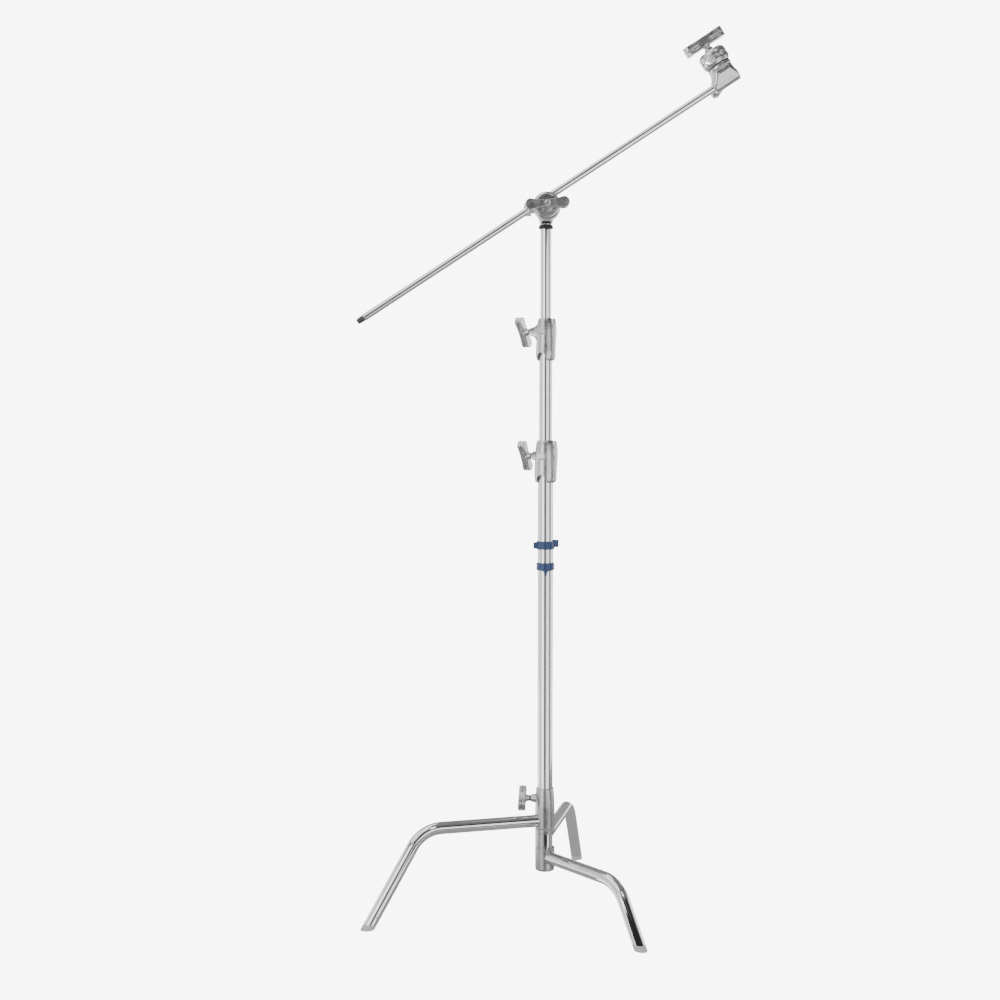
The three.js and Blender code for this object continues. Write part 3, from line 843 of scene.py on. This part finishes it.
def sliding_hub():
    """The slotted hub of the sliding leg. Two notches in its rim let its liner be pushed out."""
    node = "sliding_leg_hub"
    low, top = AT_COLUMN.span(node)
    liner_low, liner_high = AT_COLUMN.span("sliding_leg_liner")
    liner_radius = AT_COLUMN.radii("sliding_leg_liner")[1]
    profile = [
        (HUB_BORE, low), (HUB_RADIUS, low), (HUB_RADIUS, liner_high),
        (HUB_RADIUS - 1.4, SLIDER_CLAMP + 12), (HUB_RADIUS - 2.6, top), (HUB_BORE, top),
    ]
    side = azimuth_of("sliding_leg_knob_turn")
    knob_boss = spun(moved(boss(SLIDER_BOSS, 13, 8), 0, 0, SLIDER_CLAMP), "Z", side)
    hole = spun(moved(screw_hole(SLIDER_BOSS), 0, 0, SLIDER_CLAMP), "Z", side)
    rim_notch = block((-40, -2.5, top - 4.5), (40, 2.5, top + 1))
    body = joined(turned(profile, 0.8), knob_boss)
    body = cut(
        body,
        rod(HUB_BORE, low - 1, top + 1),
        rod(liner_radius + 0.3, liner_low - 0.3, liner_high + 0.3, 0),
        hole,
        leg_socket("sliding"),
        rim_notch,
    )
    made_piece(cast(body, 0.7, 4), AT_COLUMN, node)


def legs_and_hubs():
    lowest_hub()
    middle_hub()
    sliding_hub()
    for name in LEGS:
        leg(name)


# ---- clamps ----


def azimuth_of(joint):
    x, y, _ = JOINT[joint]["axis"]
    return math.degrees(math.atan2(y, x))


def dogbone(length, end_width, waist):
    """The front outline of a T grip: round ends and a narrower waist."""
    end = end_width / 2
    reach = length / 2 - end
    bottom = curve_through((-reach, -end), (0, end - waist), (reach, -end))
    top = curve_through((reach, end), (0, waist - end), (-reach, end))
    right = arc((reach, 0), end, -90, 90, 14)
    left = arc((-reach, 0), end, 90, 270, 14)
    return bottom + right[1:-1] + top + left[1:-1]


def slot_outline(near, far, half):
    """A long slot with round ends, along X."""
    return arc((far - half, 0), half, -90, 90, 8) + arc((near + half, 0), half, 90, 270, 8)


def tee_grip(length, end_width, waist, thickness, neck, neck_radius, bore):
    """A T grip along +Z: a neck from z = 0, then the bar along X, with slots in both sides."""
    bar = prism(dogbone(length, end_width, waist), neck, neck + thickness)
    stem = turned([(0, 0), (neck_radius, 0), (waist / 2 + 1.5, neck + 3), (0, neck + 3)], 0.4, 64)
    grip = joined(bar, stem)
    middle = neck + thickness * 0.42
    half = thickness * 0.12
    web = end_width / 2 - 4.5
    for across in (-1, 1):
        for along in (-1, 1):
            near = along * (waist / 2 + 3.5)
            far = along * (length / 2 - 5.5)
            slot = prism(slot_outline(min(near, far), max(near, far), half), web, 40)
            spun(slot, "X", 90 if across < 0 else -90)
            grip = cut(grip, moved(slot, 0, 0, middle))
    dimple = rod(waist / 2 - 2.2, neck + thickness - 1.0, neck + thickness + 1, 0, 48)
    return cut(grip, dimple, rod(bore, -1, neck + thickness - 6, 0, 40))


KNOB = {"length": 76, "end_width": 21, "waist": 15, "thickness": 17, "neck": 8.5, "neck_radius": 6.6}
HANDLE = {"length": 98, "end_width": 25, "waist": 15, "thickness": 22, "neck": 6.5, "neck_radius": 7}


def clamp(name, joint, casting_reach):
    """A clamp: a brass pad, a threaded screw, and the T knob that turns it."""
    axis = Vector(JOINT[joint]["axis"])
    rough = Place(JOINT[joint]["pos_m"], axis, UP if abs(axis.z) < 0.9 else (1, 0, 0))
    place = Place(JOINT[joint]["pos_m"], axis, rough.long_way(name + "_knob"))
    rod_piece(name + "_pad", place, 0.5)
    low, high = place.span(name + "_screw")
    radius = place.radii(name + "_screw")[1]
    made_piece(threaded(radius, low, high, low + 1, high - 10), place, name + "_screw")
    knob_low, _ = place.span(name + "_knob")
    grip = tee_grip(bore=radius + 0.3, **KNOB)
    made_piece(moved(cast(grip, 0.6, 4), 0, 0, knob_low), place, name + "_knob")
    seal = ring(radius + 0.4, KNOB["neck_radius"] + 0.5, casting_reach + 0.3, knob_low - 0.2, 0.5)
    detail(seal, name + "_seal", place, name + "_knob", "rubber")


# ---- collars ----

COLLARS = {
    "lower_collar": {"outer": 22.5, "boss": 33.0},
    "upper_collar": {"outer": 19.5, "boss": 40.0},
}


def collar(node, tube_node, riser_node, joint):
    """A clamp collar: its body, a long boss with a web, a rib behind, and an arch at its foot."""
    outer = COLLARS[node]["outer"]
    reach = COLLARS[node]["boss"]
    side = math.radians(azimuth_of(joint))
    place = Place(COLUMN, UP, (math.cos(side), math.sin(side), 0))
    bottom, top = place.span(node)
    height = top - bottom
    knob_height = JOINT[joint]["pos_m"][2] / MM - bottom
    tube_radius = place.radii(tube_node)[1]
    tube_top = place.span(tube_node)[1] - bottom
    riser_radius = place.radii(riser_node)[1]

    def at(share):
        return share * height

    profile = [
        (0, 0), (outer - 1.5, 0), (outer + 2, at(0.05)), (outer + 3.5, at(0.17)), (outer + 2, at(0.42)),
        (outer + 0.8, at(0.75)), (outer - 1.2, at(0.93)), (outer - 3.5, height), (0, height),
    ]
    body = turned(profile, 6)
    web = prism(
        [(outer - 4, at(0.34)), (reach - 9, knob_height - 8), (reach - 9, knob_height + 8),
         (outer - 4, at(0.93))],
        -3.4, 3.4,
    )
    spun(web, "X", 90)
    body = joined(body, moved(boss(reach, 17, 9), 0, 0, knob_height), web, rib(outer, at))
    land = block((-9, -outer - 2.6, knob_height - 6.5), (11, outer + 2.6, knob_height + 6.5))
    body = joined(body, land)
    arch = [(-13, -5), (13, -5)] + arc((0, 0), 13, 0, 180, 24, 1.4)
    arch_cut = spun(prism(arch, -50, 50), "X", 90)
    groove = rib_groove(outer, height)
    body = cut(
        body, arch_cut, *groove,
        rod(tube_radius + 0.35, -1, tube_top + 0.3, 0),
        rod(riser_radius + 1.45, 0, height + 1, 0),
        moved(screw_hole(reach), 0, 0, knob_height),
    )
    body = cast(body, 0.7, 5)
    made_piece(moved(body, 0, 0, bottom), place, node)
    collar_pins(node, place, outer, bottom + at(0.24))


def rib(outer, at):
    """The thick rib on the back of a collar, swelling towards the top."""
    outline = [(outer - 6, at(0.02)), (outer + 4, at(0.07))]
    outline += curve_through((outer + 4, at(0.07)), (outer + 5, at(0.4)), (outer + 7, at(0.62)), 8)[1:]
    outline += curve_through((outer + 7, at(0.62)), (outer + 7, at(0.88)), (outer + 3, at(0.98)), 8)[1:]
    outline.append((outer - 6, at(0.98)))
    return spun(spun(prism(outline, -4.5, 4.5), "X", 90), "Z", 180)


def rib_groove(outer, height):
    """Two grooves that part the rib from the collar's body."""
    made = []
    for across in (-1, 1):
        groove = rod(1.3, 4, height - 3, 0, 24)
        made.append(moved(groove, -(outer + 2.2), across * 5.0, 0))
    return made


def collar_pins(node, place, outer, height):
    """The cross pin that holds the collar on its tube: its two ends show."""
    for across in (-1, 1):
        pin = along_front(rod(2.4, 0, 1.2, 0.3, 24))
        moved(pin, 6, -(outer + 2.2), height)
        if across > 0:
            spun(pin, "Z", 180)
        suffix = "front" if across < 0 else "back"
        detail(pin, node + "_pin_" + suffix, place, node, "steel")


# ---- grip heads ----
# Frame of a head: origin on the receiver bore, Z along the bore with its mouth at -Z,
# jaws towards -Y and the clamp knob towards -X.

HEAD = {
    "bore": 8.3, "barrel": 14.0, "low": -35.0, "high": 27.0, "face": 36.0, "disc": 27.0,
    "split": 54.0, "jaw": 31.5, "boss": 22.0, "bolt_hole": 4.6, "spring_hole": 6.4,
    "groove": 15.5, "groove_radius": 8.3, "small_groove": -15.0, "small_radius": 5.2,
}


class Head:
    """The two local frames of a grip head: its body's, and its jaws'."""

    def __init__(self, name, knob_joint, jaw_joint, groove_way, bore_way):
        self.name = name
        self.origin = JOINT[knob_joint]["pos_m"]
        jaw_axis = Vector(JOINT[jaw_joint]["axis"])
        knob_axis = Vector(JOINT[knob_joint]["axis"])
        self.body = Place(self.origin, bore_way, -knob_axis)
        self.jaws = Place(self.origin, jaw_axis, groove_way)
        self.knob_joint = knob_joint


def head_body(head):
    """The body: a barrel round the stud or rod, a round face for the jaws, and a flare between."""
    size = HEAD
    low, high = size["low"], size["high"]
    barrel = turned(
        [(0, low), (size["barrel"] - 1, low), (size["barrel"], low + 2), (size["barrel"], high - 2),
         (size["barrel"] - 2, high), (0, high)],
        1.0,
    )
    disc = along_front(rod(size["disc"], size["face"] - 7, size["face"], 0.8))
    rim = [(x, 5 - size["face"], y) for x, y in circle(size["disc"] - 2.0)]
    ends = [
        (x, y, z) for z in (low + 3, high - 2) for x, y in circle(size["barrel"] - 0.5, 32)
    ]
    side_boss = spun(boss(size["boss"], 11.5, 9.5), "Z", 180)
    body = joined(barrel, disc, hull(rim + ends), side_boss)
    recess = [(-17, -13), (-27, -21), (-27, 15), (-17, 12)]
    recess = softened(recess, 4, True)
    body = cut(
        body,
        moved(side_recess(recess), size["disc"] - 4.5),
        rod(size["bore"], low - 1, high + 1, 0),
        spun(screw_hole(size["boss"]), "Z", 180),
        along_front(rod(size["bolt_hole"], 11, size["face"] + 1, 0, 40)),
    )
    made_piece(cast(body, 0.7, 4), head.body, head.name + "_body")
    retaining_pin(head)


def side_recess(outline):
    """A shallow recess in the side of the flare, from (y, z) points, cut along X."""
    solid = prism([(point[0], point[1]) for point in outline], -2.6, 20)
    solid.data.transform(Matrix(((0, 0, 1, 0), (1, 0, 0, 0), (0, 1, 0, 0), (0, 0, 0, 1))))
    return solid


RETAINING_PIN = (0.0, -24.0, 19.2)  # where the pin's end stands in the frame of the head


def retaining_pin(head):
    """The end of the pin that keeps the jaws' bolt in the body."""
    pin = moved(rod(2.5, 0, 1.4, 0.3, 24), *RETAINING_PIN)
    detail(pin, head.name + "_pin", head.body, head.name + "_body", "steel")


def toothed_rod(radius, tooth, half_length, teeth=22):
    """A round cutter with fine teeth along it, for the grooves that grip a rod."""
    outline = []
    for i in range(2 * teeth):
        angle = math.pi * i / teeth
        reach = radius + (tooth if i % 2 else 0)
        outline.append((reach * math.cos(angle), reach * math.sin(angle)))
    return along_x(prism(outline, -half_length, half_length))


def groove_cutters():
    """The two grooves, in the frame of the jaws: along X, at the split between the jaws."""
    large = moved(toothed_rod(HEAD["groove_radius"], 0.9, 50), 0, HEAD["groove"], HEAD["split"])
    small = moved(toothed_rod(HEAD["small_radius"], 0.7, 50), 0, HEAD["small_groove"], HEAD["split"])
    return [large, small]


def inner_jaw(head):
    node = head.name + "_inner_jaw"
    low, face = head.jaws.span(node)
    profile = [
        (0, low), (HEAD["disc"], low), (HEAD["disc"] + 1, low + 1.5), (HEAD["jaw"], low + 8),
        (HEAD["jaw"], face), (0, face),
    ]
    body = cut(
        turned(profile, 0.8),
        rod(HEAD["bolt_hole"], low - 1, face + 1, 0, 40),
        rod(HEAD["spring_hole"], face - 4.4, face + 1, 0, 40),
        *groove_cutters(),
    )
    made_piece(cast(body, 0.7, 3), head.jaws, node)


def outer_jaw(head):
    node = head.name + "_outer_jaw"
    face, end = head.jaws.span(node)
    jaw = HEAD["jaw"]
    profile = [
        (0, face), (jaw, face), (jaw, face + 9), (jaw - 1.2, face + 13), (jaw - 5.5, end - 3.4),
        (14, end - 2.9), (11, end - 2.6), (10, end), (0, end),
    ]
    body = cut(
        turned(profile, 2.0),
        rod(HEAD["bolt_hole"], face - 1, end + 1, 0, 40),
        rod(HEAD["spring_hole"], face - 1, face + 4.4, 0, 40),
        *groove_cutters(),
    )
    made_piece(cast(body, 0.7, 3), head.jaws, node)


SPRING_TURNS = 4
WIRE = 0.55


def coil_spring(head):
    """The spring that pushes the jaws apart."""
    node = head.name + "_spring"
    low, high = head.jaws.span(node)
    radius = head.jaws.radii(node)[1] - WIRE
    steps = 24 * SPRING_TURNS
    around = 8
    vertices = []
    faces = []
    for i in range(steps + 1):
        angle = 2 * math.pi * SPRING_TURNS * i / steps
        outward = Vector((math.cos(angle), math.sin(angle), 0))
        height = low + WIRE + (high - low - 2 * WIRE) * i / steps
        for k in range(around):
            turn = 2 * math.pi * k / around
            reach = radius + WIRE * math.cos(turn)
            vertices.append(outward * reach + Vector((0, 0, height + WIRE * math.sin(turn))))
    for i in range(steps):
        for k in range(around):
            j = (k + 1) % around
            here = i * around
            faces.append([here + k, here + j, here + around + j, here + around + k])
    faces.append(list(range(around)))
    faces.append(list(range(steps * around, (steps + 1) * around)))
    made_piece(new_solid(vertices, faces), head.jaws, node)


def handle_and_bolt(head):
    low, high = head.jaws.span(head.name + "_bolt")
    radius = head.jaws.radii(head.name + "_bolt")[1]
    made_piece(threaded(radius, low, high, high - 40, high - 14), head.jaws, head.name + "_bolt")
    place = Place(head.origin, JOINT_AXIS[head.name], head.jaws.long_way(head.name + "_handle"))
    handle_low, _ = place.span(head.name + "_handle")
    grip = cast(tee_grip(bore=radius + 0.3, **HANDLE), 0.65, 4)
    made_piece(moved(grip, 0, 0, handle_low), place, head.name + "_handle")


def grip_head(head):
    head_body(head)
    inner_jaw(head)
    outer_jaw(head)
    coil_spring(head)
    handle_and_bolt(head)
    ring_piece(head.name + "_friction_washer", head.jaws, 0.2)
    ring_piece(head.name + "_thrust_washer", head.jaws, 0.3)
    clamp(head.name, head.knob_joint, HEAD["boss"])


# ---- arm ----

ARM_WAY = Vector(JOINT["arm_slide"]["axis"])
AT_ARM = Place(JOINT["end_head_roll"]["pos_m"], ARM_WAY, (0, -1, 0))
JOINT_AXIS = {
    "centre_head": Vector(JOINT["centre_jaw_tilt"]["axis"]),
    "end_head": Vector(JOINT["end_jaw_turn"]["axis"]),
}


def arm():
    """The arm's rod, with a step at its tip for the cap."""
    low, high = AT_ARM.span("arm_rod")
    radius = AT_ARM.radii("arm_rod")[1]
    shoulder = low + 10
    profile = [
        (0, low), (4, low), (4, shoulder), (radius, shoulder), (radius, high - 1.2),
        (radius - 1.2, high), (0, high),
    ]
    made_piece(turned(profile, 0.5), AT_ARM, "arm_rod")
    tip, cap_end = AT_ARM.span("arm_tip_cap")
    profile = [
        (0, tip), (4.2, tip), (6.6, tip + 2.5), (7.2, cap_end), (4.3, cap_end), (4.3, low - 0.3),
        (0, low - 0.3),
    ]
    made_piece(turned(profile, 0.8), AT_ARM, "arm_tip_cap")


# ---- stage ----


def stage_mesh(name, vertices, faces, material):
    mesh = bpy.data.meshes.new(name)
    mesh.from_pydata(vertices, [], faces)
    mesh.materials.append(material)
    made = bpy.data.objects.new(name, mesh)
    bpy.context.scene.collection.objects.link(made)
    return made


def plain_material(name, grey, roughness):
    material = bpy.data.materials.new(name)
    material.use_nodes = True
    shader = material.node_tree.nodes["Principled BSDF"]
    shader.inputs["Base Color"].default_value = (grey, grey, grey, 1)
    shader.inputs["Roughness"].default_value = roughness
    return material


def glow_material(name, strength):
    material = bpy.data.materials.new(name)
    material.use_nodes = True
    nodes = material.node_tree.nodes
    nodes.clear()
    output = nodes.new("ShaderNodeOutputMaterial")
    glow = nodes.new("ShaderNodeEmission")
    glow.inputs["Strength"].default_value = strength
    material.node_tree.links.new(glow.outputs["Emission"], output.inputs["Surface"])
    return material


FLOOR_HALF = 40.0
WORLD_LIGHT = 1.1
BACKDROP = 8.0  # brightness of the white backdrop and floor
STUDIO_MIDDLE = COLUMN + Vector((0, 0, 0.9))
STUDIO_RADIUS = 8.0
LAYER = 0.1  # each card stands this much nearer than the one before

# What the polished metal reflects: name, azimuths and elevations in degrees, and brightness.
STUDIO = [
    ("ceiling", (0, 360), (8, 62), 0.2),
    ("zenith", (0, 360), (60, 90), 0.25),
    ("ceiling_back", (20, 166), (16, 62), 0.3),
    ("ground", (0, 360), (-90, -12), 0.4),
    ("wall_back", (20, 162), (-20, 17), 2.6),
    ("wall_left", (162, 198), (-20, 17), 1.3),
    ("wall_left_front", (198, 214), (-20, 17), 0.95),
    ("lamp_left", (214, 247), (-20, 17), 3.2),
    ("front", (247, 283), (-20, 17), 0.42),
    ("front_gap", (257, 271), (-19, 16), 0.14),
    ("lamp_right", (283, 328), (-20, 17), 2.1),
    ("wall_right", (328, 358), (-26, 17), 0.28),
    ("wall_right_back", (358, 380), (-20, 17), 2.3),
    ("ground_right", (284, 328), (-34, -20), 2.2),
    ("ground_left", (120, 172), (-44, -14), 3.0),
    ("soft_box", (150, 248), (24, 60), 1.8),
    ("top_box", (90, 262), (52, 80), 2.0),
    ("strip_light", (281, 296), (40, 55), 6.0),
    ("front_dark", (249, 292), (13, 25), 0.02),
    ("right_dark", (292, 332), (14, 34), 0.02),
    ("side_gap", (38, 50), (-20, 17), 0.12),
    ("back_gap", (84, 94), (-20, 17), 0.12),
    ("back_left_gap", (129, 141), (-20, 17), 0.12),
]

# Cards close to the legs: name, corners in metres from the column's foot, and brightness.
NEAR_CARDS = [
    (
        "card_low_front",
        [(-0.16, -0.52, 0.001), (0.34, -0.33, 0.001), (0.34, -0.33, 0.15), (-0.16, -0.52, 0.15)],
        0.03,
    ),
    (
        "card_low_back",
        [(-0.4, -0.1, 0.001), (1.3, -0.1, 0.001), (1.3, 1.9, 0.001), (-0.4, 1.9, 0.001)],
        0.45,
    ),
    (
        "card_behind",
        [(-0.6, 1.2, 0.26), (1.0, 1.2, 0.26), (1.0, 1.2, 0.85), (-0.6, 1.2, 0.85)],
        0.42,
    ),
]


def studio_point(azimuth, elevation, radius):
    turn = math.radians(azimuth)
    lift = math.radians(elevation)
    way = Vector((math.cos(turn) * math.cos(lift), math.sin(turn) * math.cos(lift), math.sin(lift)))
    return STUDIO_MIDDLE + radius * way


def studio_card(name, azimuths, elevations, radius, brightness):
    """A glowing patch of a sphere round the stand."""
    columns = max(2, round((azimuths[1] - azimuths[0]) / 6))
    rows = max(1, round((elevations[1] - elevations[0]) / 6))
    vertices = []
    for i in range(columns + 1):
        azimuth = azimuths[0] + (azimuths[1] - azimuths[0]) * i / columns
        for j in range(rows + 1):
            elevation = elevations[0] + (elevations[1] - elevations[0]) * j / rows
            vertices.append(studio_point(azimuth, elevation, radius))
    faces = []
    for i in range(columns):
        for j in range(rows):
            low = i * (rows + 1) + j
            faces.append([low, low + rows + 1, low + rows + 2, low + 1])
    card = stage_mesh(name, vertices, faces, glow_material(name, brightness))
    card.visible_diffuse = False
    card.visible_shadow = False
    card.visible_transmission = False
    return card


def near_card(name, corners, brightness):
    """A card close to the legs that only their reflections see."""
    vertices = [COLUMN + Vector(corner) for corner in corners]
    card = stage_mesh(name, vertices, [[0, 1, 2, 3]], glow_material(name, brightness))
    card.visible_camera = False
    card.visible_diffuse = False
    card.visible_shadow = False
    card.visible_transmission = False


def soft_light(name, place, target, size, power):
    data = bpy.data.lights.new(name, "AREA")
    data.size = size
    data.energy = power
    light = bpy.data.objects.new(name, data)
    light.location = place
    light.rotation_euler = (Vector(target) - Vector(place)).to_track_quat("-Z", "Y").to_euler()
    light.visible_camera = False
    light.visible_glossy = False
    bpy.context.scene.collection.objects.link(light)


def make_stage():
    world = bpy.data.worlds.new("studio")
    world.use_nodes = True
    background = world.node_tree.nodes["Background"]
    background.inputs["Color"].default_value = (1, 1, 1, 1)
    background.inputs["Strength"].default_value = WORLD_LIGHT
    bpy.context.scene.world = world
    half = FLOOR_HALF
    corners = [(-half, -half, 0), (half, -half, 0), (half, half, 0), (-half, half, 0)]
    pale = plain_material("floor", 0.8, 0.6)
    shader = pale.node_tree.nodes["Principled BSDF"]
    shader.inputs["Emission Color"].default_value = (1, 1, 1, 1)
    shader.inputs["Emission Strength"].default_value = BACKDROP - 0.8 * WORLD_LIGHT
    floor = stage_mesh("floor", corners, [[0, 1, 2, 3]], pale)
    floor.visible_diffuse = False
    floor.visible_glossy = False
    backdrop = studio_card("backdrop", (0, 360), (-6, 90), FLOOR_HALF - 2, BACKDROP)
    backdrop.visible_glossy = False
    for layer, (name, azimuths, elevations, brightness) in enumerate(STUDIO):
        radius = STUDIO_RADIUS - LAYER * layer
        card = studio_card("card_" + name, azimuths, elevations, radius, brightness)
        card.visible_camera = False
    for name, corners, brightness in NEAR_CARDS:
        near_card(name, corners, brightness)
    soft_light("key", (-2.5, -2.5, 4.0), (0, 0, 1), 3.0, 60)


# ---- the stand ----

make_camera()
MATERIALS = make_materials()
make_stage()

column_and_risers()
blue_rings()
legs_and_hubs()
collar("lower_collar", "column_tube", "riser_1_tube", "lower_collar_knob_turn")
collar("upper_collar", "riser_1_tube", "riser_2_tube", "upper_collar_knob_turn")
clamp("sliding_leg", "sliding_leg_knob_turn", SLIDER_BOSS)
clamp("lower_collar", "lower_collar_knob_turn", COLLARS["lower_collar"]["boss"])
clamp("upper_collar", "upper_collar_knob_turn", COLLARS["upper_collar"]["boss"])
grip_head(Head("centre_head", "centre_head_knob_turn", "centre_jaw_tilt", ARM_WAY, UP))
grip_head(Head("end_head", "end_head_knob_turn", "end_jaw_turn", (0, 1, 0), ARM_WAY))
arm()

bpy.context.view_layer.update()
